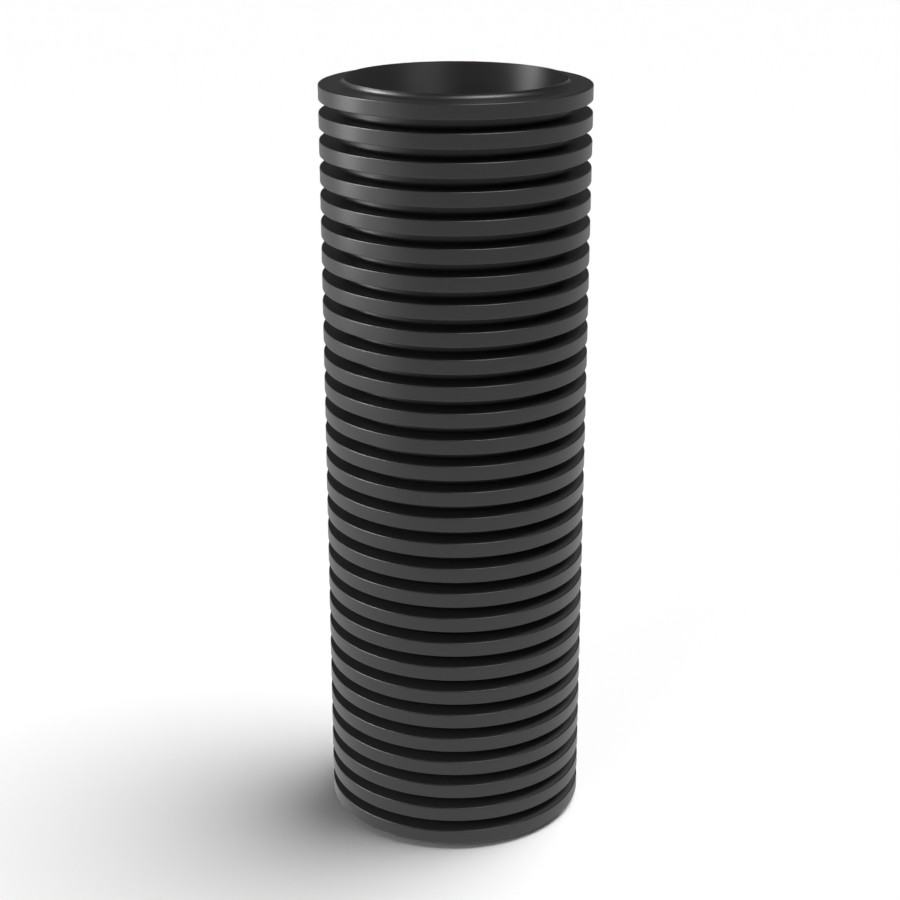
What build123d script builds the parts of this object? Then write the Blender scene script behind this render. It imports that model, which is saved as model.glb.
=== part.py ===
"""Corrugated shaft of an inspection chamber: one length of ribbed plastic riser pipe, standing upright."""
import os
from math import cos, radians, sin

from build123d import *

# Driving dimensions, in millimetres
OUTER_DIAMETER = 430.0
RIB_HEIGHT = 36.0
RIB_WIDTH = 24.0
GROOVE_WIDTH = 19.1
RIB_COUNT = 29
WALL_THICKNESS = 4.0
HEAD_HEIGHT = 9.0
HEAD_LAND = 1.0
HEAD_FLARE = 9.5
HEAD_FLATS = 3

# Sizes that follow from them. One groove's width is shared between the bare wall of the head and of the foot.
RIB_PITCH = RIB_WIDTH + GROOVE_WIDTH
LENGTH = RIB_COUNT * RIB_PITCH
FOOT_HEIGHT = GROOVE_WIDTH - HEAD_HEIGHT
OUTER_RADIUS = OUTER_DIAMETER / 2
VALLEY_RADIUS = OUTER_RADIUS - RIB_HEIGHT
BORE_RADIUS = VALLEY_RADIUS - WALL_THICKNESS
LAND_RADIUS = BORE_RADIUS + HEAD_LAND

# The head is hollow on the outside, in a few flats: it sweeps up from the top rib to a narrow land at the bore.
turns = [radians(90 * flat / HEAD_FLATS) for flat in range(HEAD_FLATS + 1)]
head_edge = [
    (LAND_RADIUS + HEAD_FLARE * (1 - sin(turn)), LENGTH - HEAD_HEIGHT * cos(turn))
    for turn in turns
]
head_root = (VALLEY_RADIUS, LENGTH - HEAD_HEIGHT)

# Half section through the axis: X is the radius and Y the height above the floor
with BuildSketch(Plane.XZ) as section:
    with BuildLine():
        Polyline((BORE_RADIUS, 0), (VALLEY_RADIUS, 0), head_root, *head_edge, (BORE_RADIUS, LENGTH), close=True)
    make_face()

    # Flat-faced ribs at an even pitch, from just above the foot to just below the head
    ribs_middle = (FOOT_HEIGHT + LENGTH - HEAD_HEIGHT) / 2
    with Locations((BORE_RADIUS, ribs_middle)):
        with GridLocations(RIB_PITCH, RIB_PITCH, 1, RIB_COUNT):
            Rectangle(OUTER_RADIUS - BORE_RADIUS, RIB_WIDTH, align=(Align.MIN, Align.CENTER))

with BuildPart() as shaft:
    add(section.sketch)
    revolve(axis=Axis.Z)

os.makedirs("parts", exist_ok=True)
export_step(shaft.part, "parts/corrugated_shaft.step")
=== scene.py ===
# %% [markdown]
# A shaft of an inspection chamber is a length of ribbed black pipe that stands in the ground.
# This lesson dresses its plain CAD solid for a studio picture. The imported model is loaded first,
# as a fixed frame in metres, and its box is kept, for the dressed shaft takes its length and radius from
# it.

# %% Load the frame
from math import cos, pi, radians, sin

import bmesh
import bpy
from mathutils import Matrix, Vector


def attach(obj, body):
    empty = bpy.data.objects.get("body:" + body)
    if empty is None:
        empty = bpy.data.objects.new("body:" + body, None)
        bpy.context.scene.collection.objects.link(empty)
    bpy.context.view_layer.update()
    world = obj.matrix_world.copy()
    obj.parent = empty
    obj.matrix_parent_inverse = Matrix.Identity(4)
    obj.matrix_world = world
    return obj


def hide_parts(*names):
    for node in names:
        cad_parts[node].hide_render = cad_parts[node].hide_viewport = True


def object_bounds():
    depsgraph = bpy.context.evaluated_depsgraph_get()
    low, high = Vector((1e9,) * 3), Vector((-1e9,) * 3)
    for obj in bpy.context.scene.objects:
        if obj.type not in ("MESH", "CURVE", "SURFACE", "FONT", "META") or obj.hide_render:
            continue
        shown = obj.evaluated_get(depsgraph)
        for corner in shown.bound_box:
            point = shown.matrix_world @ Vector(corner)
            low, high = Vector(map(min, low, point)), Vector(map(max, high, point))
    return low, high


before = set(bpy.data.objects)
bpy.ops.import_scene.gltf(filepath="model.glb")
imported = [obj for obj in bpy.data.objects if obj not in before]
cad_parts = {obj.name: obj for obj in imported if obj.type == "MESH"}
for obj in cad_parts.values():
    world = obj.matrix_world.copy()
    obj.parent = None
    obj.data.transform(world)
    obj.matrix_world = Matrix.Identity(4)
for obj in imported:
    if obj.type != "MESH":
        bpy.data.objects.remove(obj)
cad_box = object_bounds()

bpy.ops.object.select_all(action="DESELECT")
print("CAD box", [tuple(round(value, 4) for value in corner) for corner in cad_box])

# %% [markdown]
# The photograph was taken from a little above the shaft's head, looking down by about twenty degrees.
# The focal length and the place come from fitting the rows of the ribs, the outline on both sides and
# the ellipse of the mouth. The image is square, so the 36 mm sensor gives the same angle both ways.

# %% Camera
LENGTH = cad_box[1][2]
SENSOR_WIDTH = 36.0
FOCAL_LENGTH = 74.42
CAMERA_ASIDE = -0.0089
CAMERA_DISTANCE = 2.9269
CAMERA_ABOVE_HEAD = 0.4191
LOOK_DOWN = 19.501
camera_data = bpy.data.cameras.new("photo_camera")
camera_data.sensor_width = SENSOR_WIDTH
camera_data.lens = FOCAL_LENGTH
camera = bpy.data.objects.new("photo_camera", camera_data)
camera.location = (CAMERA_ASIDE, -CAMERA_DISTANCE, LENGTH + CAMERA_ABOVE_HEAD)
camera.rotation_euler = (radians(90.0 - LOOK_DOWN), 0.0, 0.0)
bpy.context.collection.objects.link(camera)
bpy.context.scene.camera = camera
print("camera", tuple(round(value, 3) for value in camera.location))

# %% [markdown]
# The outside is one shape said twenty-nine times: a groove with a flat-faced rib above it. So one
# pitch is drawn as a potter would throw it. A circle is the start, and its loop is extruded step by
# step: round the groove's root, up its wall, out along the rib's lower face, up its front and back in.
# The pitch and the outer radius come from the CAD box.

# %% One groove and one rib, drawn up from a circle
RIB_COUNT = 29
RIB_PITCH = LENGTH / RIB_COUNT
GROOVE_WIDTH = 0.0191
RIB_WIDTH = RIB_PITCH - GROOVE_WIDTH
CREST_RADIUS = cad_box[1][0]
VALLEY_RADIUS = 0.1790
ROOT_ROUNDING = 0.0065
ROOT_STEPS = 5
SIDES = 176
ORIGIN = (0.0, 0.0, 0.0)


def step(radius, old_radius, height):
    """Extrudes the selected loop to another radius and by a height."""
    ratio = radius / old_radius
    bpy.ops.mesh.extrude_edges_move(TRANSFORM_OT_translate={"value": (0.0, 0.0, height)})
    bpy.ops.transform.resize(value=(ratio, ratio, 1.0), center_override=ORIGIN)


def hollow_curve(outer, inner, rise, steps):
    """Radii and heights of a quarter curve that leaves a ledge level and meets a wall upright."""
    turns = [radians(90.0 * number / steps) for number in range(steps + 1)]
    depth = outer - inner
    return [(outer - depth * sin(turn), rise * (1 - cos(turn))) for turn in turns]


def follow(curve):
    """Extrudes the selected loop along a curve of radii and heights."""
    for (old_radius, old_height), (radius, height) in zip(curve, curve[1:]):
        step(radius, old_radius, height - old_height)


LEDGE_RADIUS = VALLEY_RADIUS + ROOT_ROUNDING
bpy.ops.mesh.primitive_circle_add(vertices=SIDES, radius=LEDGE_RADIUS, fill_type="NOTHING")
shaft = bpy.context.object
shaft.name = "ribbed_shaft"
bpy.ops.object.mode_set(mode="EDIT")
bpy.ops.mesh.select_mode(type="EDGE")
bpy.ops.mesh.select_all(action="SELECT")
follow(hollow_curve(LEDGE_RADIUS, VALLEY_RADIUS, ROOT_ROUNDING, ROOT_STEPS))
step(VALLEY_RADIUS, VALLEY_RADIUS, GROOVE_WIDTH - ROOT_ROUNDING)
step(CREST_RADIUS, VALLEY_RADIUS, 0.0)
step(CREST_RADIUS, CREST_RADIUS, RIB_WIDTH)
step(LEDGE_RADIUS, CREST_RADIUS, 0.0)
bpy.ops.object.mode_set(mode="OBJECT")
print("one pitch has", len(shaft.data.polygons), "faces")

# %% [markdown]
# Moulded plastic has no razor edges. The rib's two outer edges get a small rounding, which is what
# catches the light as a thin line. The loops are picked by their radius and height, and the Bevel
# operator rounds them. A hair is how far a loop may lie from the asked place and still be picked.

# %% Round the rib's edges
EDGE_ROUNDING = 0.0018
EDGE_STEPS = 3
HAIR = 0.0001


def pick_loops(piece, radius, heights):
    """Selects the level edges at a radius and at any of the heights."""
    mesh = bmesh.from_edit_mesh(piece.data)
    for edge in mesh.edges:
        ends = [vert.co for vert in edge.verts]
        on_radius = all(abs(end.xy.length - radius) < HAIR for end in ends)
        on_height = any(all(abs(end.z - height) < HAIR for end in ends) for height in heights)
        edge.select_set(on_radius and on_height)
    bmesh.update_edit_mesh(piece.data)


bpy.ops.object.mode_set(mode="EDIT")
bpy.ops.mesh.select_all(action="DESELECT")
pick_loops(shaft, CREST_RADIUS, (GROOVE_WIDTH, RIB_PITCH))
bpy.ops.mesh.bevel(offset=EDGE_ROUNDING, offset_type="OFFSET", segments=EDGE_STEPS, affect="EDGES")
bpy.ops.object.mode_set(mode="OBJECT")
print("the rounded pitch has", len(shaft.data.polygons), "faces")

# %% [markdown]
# An Array modifier stacks the pitches, one on the other, and welds each to the next. On the real
# pipe a chain of mould blocks does the same: the wall is blown into one block after another.

# %% Stack the pitches
stack = shaft.modifiers.new("stack", "ARRAY")
stack.count = RIB_COUNT
stack.use_relative_offset = False
stack.use_constant_offset = True
stack.constant_offset_displace = (0.0, 0.0, RIB_PITCH)
stack.use_merge_vertices = True
stack.merge_threshold = HAIR
bpy.ops.object.modifier_apply(modifier=stack.name)
print("the stack is", round(shaft.dimensions.z, 4), "m tall with", len(shaft.data.polygons), "faces")

# %% [markdown]
# The saw cuts the pipe through a groove. Under the lowest rib the groove's root falls away: its loops
# are deleted, the wall's lower loop moves up to the cut, and the stack moves down to the floor. Above
# the top rib the root stays. There it sweeps up in a hollow curve, level at first and upright at the
# end, so its loops follow a sine and a cosine, up to the narrow land beside the bore.

# %% Foot and head
HEAD_HEIGHT = 0.0090
HEAD_LAND = 0.0010
HEAD_STEPS = 6
BORE_RADIUS = 0.1750
LAND_RADIUS = BORE_RADIUS + HEAD_LAND
bpy.ops.object.mode_set(mode="EDIT")
bpy.ops.mesh.select_all(action="DESELECT")
bpy.ops.mesh.select_mode(type="VERT")
stack_mesh = bmesh.from_edit_mesh(shaft.data)
for vert in stack_mesh.verts:
    vert.select_set(vert.co.z < ROOT_ROUNDING - HAIR)
bmesh.update_edit_mesh(shaft.data)
bpy.ops.mesh.delete(type="VERT")
bpy.ops.mesh.select_mode(type="EDGE")
pick_loops(shaft, VALLEY_RADIUS, (ROOT_ROUNDING,))
bpy.ops.transform.translate(value=(0.0, 0.0, HEAD_HEIGHT - ROOT_ROUNDING))
bpy.ops.mesh.select_all(action="SELECT")
bpy.ops.transform.translate(value=(0.0, 0.0, -HEAD_HEIGHT))
bpy.ops.mesh.select_all(action="DESELECT")
pick_loops(shaft, LEDGE_RADIUS, (LENGTH - HEAD_HEIGHT,))
follow(hollow_curve(LEDGE_RADIUS, LAND_RADIUS, HEAD_HEIGHT, HEAD_STEPS))
bpy.ops.object.mode_set(mode="OBJECT")
print("from the foot to the head it is", round(shaft.dimensions.z, 4), "m")

# %% [markdown]
# Both ends are open loops now. Each steps in to the bore's radius, which makes the flat foot and the
# head's land. Bridging the two inner loops then makes the long smooth bore, and the shell is closed.

# %% Ends and bore
bpy.ops.object.mode_set(mode="EDIT")
for old_radius, height in ((VALLEY_RADIUS, 0.0), (LAND_RADIUS, LENGTH)):
    bpy.ops.mesh.select_all(action="DESELECT")
    pick_loops(shaft, old_radius, (height,))
    step(BORE_RADIUS, old_radius, 0.0)
bpy.ops.mesh.select_all(action="DESELECT")
pick_loops(shaft, BORE_RADIUS, (0.0, LENGTH))
bpy.ops.mesh.bridge_edge_loops()
bpy.ops.mesh.select_all(action="SELECT")
bpy.ops.mesh.remove_doubles(threshold=HAIR / 10)
bpy.ops.mesh.normals_make_consistent(inside=False)
bpy.ops.object.mode_set(mode="OBJECT")
print("the shaft has", sum(len(face.vertices) - 2 for face in shaft.data.polygons), "triangles")

# %% [markdown]
# Smooth shading rounds the pipe's sides, and the Weighted Normal modifier lets the large faces
# decide how the light turns, so a rib's flat front stays flat right up to its small rounding.

# %% Shading, and the CAD node it stands for
SHARP_ANGLE = 35.0
LARGE_FACES_FIRST = 100
bpy.ops.object.shade_smooth_by_angle(angle=radians(SHARP_ANGLE))
flats = shaft.modifiers.new("flats", "WEIGHTED_NORMAL")
flats.keep_sharp = True
flats.weight = LARGE_FACES_FIRST
bpy.ops.object.modifier_apply(modifier=flats.name)
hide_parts("corrugated_shaft")
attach(shaft, "root")
print("the shaft replaces the CAD node and rides on root")

# %% [markdown]
# Black polypropylene looks plain, yet it isn't one flat colour. The mould leaves a very fine grain,
# and the gloss drifts a little from place to place. Both finishes of the shaft use that, so it is
# a node group: it takes a position and gives the grain and the drift as values from 0 to 1.

# %% The moulded skin, as a node group
def value_group(name, inputs, outputs):
    """An empty shader group with a Vector input, named value inputs and named value outputs."""
    group = bpy.data.node_groups.new(name, "ShaderNodeTree")
    group.interface.new_socket("Vector", in_out="INPUT", socket_type="NodeSocketVector")
    for label, default in inputs.items():
        socket = group.interface.new_socket(label, in_out="INPUT", socket_type="NodeSocketFloat")
        socket.default_value = default
    for label in outputs:
        group.interface.new_socket(label, in_out="OUTPUT", socket_type="NodeSocketFloat")
    entry = group.nodes.new("NodeGroupInput")
    leave = group.nodes.new("NodeGroupOutput")
    return group, entry, leave


skin_scales = {"Grain Scale": 900.0, "Drift Scale": 7.0}
skin, skin_in, skin_out = value_group("moulded_skin", skin_scales, ("Grain", "Drift"))
grain = skin.nodes.new("ShaderNodeTexNoise")
grain.inputs["Detail"].default_value = 3.0
drift = skin.nodes.new("ShaderNodeTexNoise")
drift.inputs["Detail"].default_value = 4.0
skin.links.new(skin_in.outputs["Vector"], grain.inputs["Vector"])
skin.links.new(skin_in.outputs["Grain Scale"], grain.inputs["Scale"])
skin.links.new(skin_in.outputs["Vector"], drift.inputs["Vector"])
skin.links.new(skin_in.outputs["Drift Scale"], drift.inputs["Scale"])
skin.links.new(grain.outputs["Fac"], skin_out.inputs["Grain"])
skin.links.new(drift.outputs["Fac"], skin_out.inputs["Drift"])
print("group", skin.name, "made")

# %% [markdown]
# Plastic pipe leaves the line with faint streaks that run along its travel. Stretching a noise
# along Z by a Mapping node makes them: strong across, and slow along the pipe.

# %% The draw streaks, as a node group
STREAK_STRETCH = 0.012
streaks, streaks_in, streaks_out = value_group("draw_streaks", {"Streak Scale": 160.0}, ("Streak",))
stretch = streaks.nodes.new("ShaderNodeMapping")
stretch.inputs["Scale"].default_value = (1.0, 1.0, STREAK_STRETCH)
streak = streaks.nodes.new("ShaderNodeTexNoise")
streak.inputs["Detail"].default_value = 3.0
streaks.links.new(streaks_in.outputs["Vector"], stretch.inputs["Vector"])
streaks.links.new(stretch.outputs["Vector"], streak.inputs["Vector"])
streaks.links.new(streaks_in.outputs["Streak Scale"], streak.inputs["Scale"])
streaks.links.new(streak.outputs["Fac"], streaks_out.inputs["Streak"])
print("group", streaks.name, "made")

# %% [markdown]
# A paler grey is painted on whatever faces up, low down on the shaft: painted light on the ledges of
# the lower grooves, fading away towards the upper ribs. This group takes the position and the normal,
# both in object coordinates, and gives a mask: level faces only, inside the rib's edge, fading with
# height.
# Each limit is a pair, between which the mask goes from none to full or from full to none.

# %% Painted light on the lower ledges, as a node group
LEVEL_LIMITS = (0.80, 0.98)
RADIUS_LIMITS = (0.2126, 0.2134)
HEIGHT_LIMITS = (0.10, 1.15)
ledge_light, ledge_light_in, ledge_light_out = value_group("painted_ledge_light", {}, ("Ledge Light",))
ledge_light.interface.new_socket("Normal", in_out="INPUT", socket_type="NodeSocketVector")
ledge_place = ledge_light.nodes.new("ShaderNodeSeparateXYZ")
ledge_facing = ledge_light.nodes.new("ShaderNodeSeparateXYZ")
flat_place = ledge_light.nodes.new("ShaderNodeVectorMath")
flat_place.operation = "MULTIPLY"
flat_place.inputs[1].default_value = (1.0, 1.0, 0.0)
radius_of = ledge_light.nodes.new("ShaderNodeVectorMath")
radius_of.operation = "LENGTH"
ledge_light.links.new(ledge_light_in.outputs["Vector"], ledge_place.inputs["Vector"])
ledge_light.links.new(ledge_light_in.outputs["Normal"], ledge_facing.inputs["Vector"])
ledge_light.links.new(ledge_light_in.outputs["Vector"], flat_place.inputs[0])
ledge_light.links.new(flat_place.outputs["Vector"], radius_of.inputs[0])


def ramp(tree, socket, limits, at_low, at_high):
    """A value that goes from one level to another between two limits."""
    node = tree.nodes.new("ShaderNodeMapRange")
    node.inputs["From Min"].default_value = limits[0]
    node.inputs["From Max"].default_value = limits[1]
    node.inputs["To Min"].default_value = at_low
    node.inputs["To Max"].default_value = at_high
    tree.links.new(socket, node.inputs["Value"])
    return node.outputs["Result"]


def mask_product(first, second):
    """Two masks multiplied."""
    product = ledge_light.nodes.new("ShaderNodeMath")
    product.operation = "MULTIPLY"
    ledge_light.links.new(first, product.inputs[0])
    ledge_light.links.new(second, product.inputs[1])
    return product.outputs["Value"]


level = ramp(ledge_light, ledge_facing.outputs["Z"], LEVEL_LIMITS, 0.0, 1.0)
inside = ramp(ledge_light, radius_of.outputs["Value"], RADIUS_LIMITS, 1.0, 0.0)
low_down = ramp(ledge_light, ledge_place.outputs["Z"], HEIGHT_LIMITS, 1.0, 0.0)
ledge_light.links.new(mask_product(mask_product(level, inside), low_down), ledge_light_out.inputs["Ledge Light"])
print("group", ledge_light.name, "made")

# %% [markdown]
# The two finishes share their build. The drift moves the colour and the gloss by a little, a painted
# light greys the level faces low down, and the grain and the streaks go to a Bump node. The outside is
# satin and deep black from the mould blocks. The bore is painted greyer, as painted light for the light
# inside it. It was drawn over a core, and its fine rings stretch a reflection up and down, which the
# Anisotropic setting does.

# %% The two finishes of the plastic
PLASTIC_IOR = 1.49
DRIFT_LIMITS = (0.3, 0.7)
# Painted light: the paler grey that the level ledges of the lower grooves are given.
PAINTED_LEDGE_GREY = (0.08, 0.08, 0.08, 1.0)


def placed(nodes, group):
    """A group placed in a material."""
    node = nodes.new("ShaderNodeGroup")
    node.node_tree = group
    return node


def black_plastic(name, blackest, greyest, smoothest, roughest, grain_depth, streak_depth):
    """Black plastic whose colour, gloss and relief follow the moulded skin, the streaks and a painted
    light on the level faces.
    """
    material = bpy.data.materials.new(name)
    material.use_nodes = True
    nodes, links = material.node_tree.nodes, material.node_tree.links
    shader = nodes["Principled BSDF"]
    shader.inputs["IOR"].default_value = PLASTIC_IOR
    place = nodes.new("ShaderNodeTexCoord")
    skin_node = placed(nodes, skin)
    streak_node = placed(nodes, streaks)
    ledge_light_node = placed(nodes, ledge_light)
    tone = nodes.new("ShaderNodeMix")
    tone.data_type = "RGBA"
    tone.inputs["A"].default_value = (blackest, blackest, blackest, 1.0)
    tone.inputs["B"].default_value = (greyest, greyest, greyest, 1.0)
    # Painted light: the level ledges low down are mixed towards a paler grey.
    lit_ledges = nodes.new("ShaderNodeMix")
    lit_ledges.data_type = "RGBA"
    lit_ledges.inputs["B"].default_value = PAINTED_LEDGE_GREY
    gloss = ramp(material.node_tree, skin_node.outputs["Drift"], DRIFT_LIMITS, smoothest, roughest)
    grain_relief = nodes.new("ShaderNodeBump")
    grain_relief.inputs["Distance"].default_value = grain_depth
    streak_relief = nodes.new("ShaderNodeBump")
    streak_relief.inputs["Distance"].default_value = streak_depth
    for node in (skin_node, streak_node, ledge_light_node):
        links.new(place.outputs["Object"], node.inputs["Vector"])
    links.new(place.outputs["Normal"], ledge_light_node.inputs["Normal"])
    links.new(skin_node.outputs["Drift"], tone.inputs["Factor"])
    links.new(ledge_light_node.outputs["Ledge Light"], lit_ledges.inputs["Factor"])
    links.new(tone.outputs["Result"], lit_ledges.inputs["A"])
    links.new(lit_ledges.outputs["Result"], shader.inputs["Base Color"])
    links.new(gloss, shader.inputs["Roughness"])
    links.new(streak_node.outputs["Streak"], streak_relief.inputs["Height"])
    links.new(skin_node.outputs["Grain"], grain_relief.inputs["Height"])
    links.new(streak_relief.outputs["Normal"], grain_relief.inputs["Normal"])
    links.new(grain_relief.outputs["Normal"], shader.inputs["Normal"])
    return material, shader


ribbed_outside, outside_shader = black_plastic(
    "ribbed_outside",
    blackest=0.008,
    greyest=0.012,
    smoothest=0.36,
    roughest=0.42,
    grain_depth=0.00002,
    streak_depth=0.00002,
)
# The bore's greyer colour is painted light, a lit copy of the same black plastic.
bore_painted_light, bore_shader = black_plastic(
    "bore_painted_light",
    blackest=0.058,
    greyest=0.068,
    smoothest=0.38,
    roughest=0.44,
    grain_depth=0.00001,
    streak_depth=0.00003,
)
outside_shader.inputs["Specular IOR Level"].default_value = 0.68
bore_shader.inputs["Specular IOR Level"].default_value = 0.75
bore_shader.inputs["Anisotropic"].default_value = 0.8
bore_shader.inputs["Anisotropic Rotation"].default_value = 0.25
shaft.data.materials.clear()
shaft.data.materials.append(ribbed_outside)
shaft.data.materials.append(bore_painted_light)
bore_faces = [face for face in shaft.data.polygons if face.center.xy.length < BORE_RADIUS + HAIR]
for face in bore_faces:
    face.material_index = 1
print(len(bore_faces), "faces have the bore's finish")

# %% [markdown]
# The floor is a plain pale sheet, far larger than the view. It keeps the soft shadow of the shaft.
# In reflections it shows without that shadow, through the Light Path node: plain white near the
# shaft and a light grey farther off, which is why the lowest ribs are a little lighter than the top.

# %% Floor
FLOOR_SIZE = 120.0
FLOOR_PAINT = (0.90, 0.90, 0.90, 1.0)
DIMMING_LIMITS = (2.0, 2.6)
NEAR_WHITE = 1.0
FAR_WHITE = 0.70
bpy.ops.object.select_all(action="DESELECT")
bpy.ops.mesh.primitive_plane_add(size=FLOOR_SIZE, location=ORIGIN)
floor = bpy.context.object
floor.name = "studio_floor"
floor_paint = bpy.data.materials.new("studio_floor")
floor_paint.use_nodes = True
floor_nodes, floor_links = floor_paint.node_tree.nodes, floor_paint.node_tree.links
paint = floor_nodes["Principled BSDF"]
paint.inputs["Base Color"].default_value = FLOOR_PAINT
paint.inputs["Roughness"].default_value = 1.0
paint.inputs["Specular IOR Level"].default_value = 0.0
ray = floor_nodes.new("ShaderNodeLightPath")
mirrored = floor_nodes.new("ShaderNodeMath")
mirrored.operation = "MAXIMUM"
white = floor_nodes.new("ShaderNodeEmission")
floor_place = floor_nodes.new("ShaderNodeTexCoord")
from_shaft = floor_nodes.new("ShaderNodeVectorMath")
from_shaft.operation = "LENGTH"
choice = floor_nodes.new("ShaderNodeMixShader")
floor_links.new(floor_place.outputs["Object"], from_shaft.inputs[0])
dimming = ramp(floor_paint.node_tree, from_shaft.outputs["Value"], DIMMING_LIMITS, NEAR_WHITE, FAR_WHITE)
floor_links.new(dimming, white.inputs["Strength"])
floor_links.new(ray.outputs["Is Glossy Ray"], mirrored.inputs[0])
floor_links.new(ray.outputs["Is Transmission Ray"], mirrored.inputs[1])
floor_links.new(mirrored.outputs["Value"], choice.inputs["Fac"])
floor_links.new(paint.outputs["BSDF"], choice.inputs[1])
floor_links.new(white.outputs["Emission"], choice.inputs[2])
floor_links.new(choice.outputs["Shader"], floor_nodes["Material Output"].inputs["Surface"])
floor.data.materials.append(floor_paint)
print("floor", FLOOR_SIZE, "m wide")

# %% [markdown]
# A big soft lamp hangs high on the right and gives the shadow on the left. A Sun with a wide angle is
# such a lamp at a great distance, so the floor is equally pale all over, and a weak fill panel in
# front opens the shadows. Black plastic shows little but reflections, so four panels are there only
# to be mirrored. The left one makes the light band down the ribs and the left front one its soft
# fall. The upper left one lights the bore and the groove walls, and the front one the edges.

# %% Lamps
CENTRE = Vector((0.0, 0.0, LENGTH))
SUN_DISTANCE = 4.0
SUN_ANGLE = 0.8
SUN_BRIGHTNESS = 1.10
PANEL_DISTANCE = 3.0
FILL_DISTANCE = 4.0


def towards(azimuth, elevation):
    """The direction to a lamp: azimuth 0 is towards the camera and 90 is to the right."""
    turn, lift = radians(azimuth), radians(elevation)
    return Vector((sin(turn) * cos(lift), -cos(turn) * cos(lift), sin(lift)))


def add_lamp(name, kind, azimuth, elevation, distance, energy):
    """A lamp that points at the shaft's head."""
    data = bpy.data.lights.new(name, kind)
    data.energy = energy
    lamp = bpy.data.objects.new(name, data)
    way = towards(azimuth, elevation)
    lamp.location = CENTRE + way * distance
    lamp.rotation_euler = way.to_track_quat("Z", "Y").to_euler()
    bpy.context.collection.objects.link(lamp)
    return lamp


def add_panel(name, azimuth, elevation, width, height, radiance, distance=PANEL_DISTANCE):
    """A panel to be mirrored, of a given brightness, where 1 is white paper."""
    lamp = add_lamp(name, "AREA", azimuth, elevation, distance, radiance * pi * width * height)
    lamp.data.shape = "RECTANGLE"
    lamp.data.size = width
    lamp.data.size_y = height
    lamp.visible_diffuse = False
    return lamp


overhead = add_lamp("overhead_lamp", "SUN", 114.0, 66.0, SUN_DISTANCE, SUN_BRIGHTNESS * pi)
overhead.data.angle = SUN_ANGLE
overhead.visible_glossy = False
fill = add_panel("fill_panel", -35.0, 16.0, width=2.5, height=1.6, radiance=2.5, distance=FILL_DISTANCE)
fill.visible_diffuse = True
fill.visible_glossy = False
add_panel("left_panel", -95.0, 0.0, width=1.2, height=1.7, radiance=4.6)
add_panel("left_front_panel", -65.0, -8.0, width=1.3, height=1.8, radiance=1.0)
add_panel("left_upper_panel", -91.0, 29.0, width=1.1, height=1.2, radiance=24.0)
add_panel("front_panel", 42.0, 54.0, width=1.8, height=1.6, radiance=10.0)

# %% [markdown]
# The room round the shaft is light below the horizon, as a pale floor is, and dark above it. So the
# upright ribs mirror a soft grey, and the level ledges stay deep.

# %% World
HORIZON_LIMITS = (-0.05, 0.05)
ROOM_BELOW = 0.70
ROOM_ABOVE = 0.10
world = bpy.data.worlds.new("studio")
world.use_nodes = True
sky, sky_links = world.node_tree.nodes, world.node_tree.links
direction = sky.new("ShaderNodeTexCoord")
height_of = sky.new("ShaderNodeSeparateXYZ")
fade = ramp(world.node_tree, height_of.outputs["Z"], HORIZON_LIMITS, ROOM_BELOW, ROOM_ABOVE)
sky_links.new(direction.outputs["Generated"], height_of.inputs["Vector"])
sky_links.new(fade, sky["Background"].inputs["Strength"])
sky["Background"].inputs["Color"].default_value = (1.0, 1.0, 1.0, 1.0)
bpy.context.scene.world = world
bpy.context.scene.view_settings.view_transform = "Standard"
print("world", world.name)
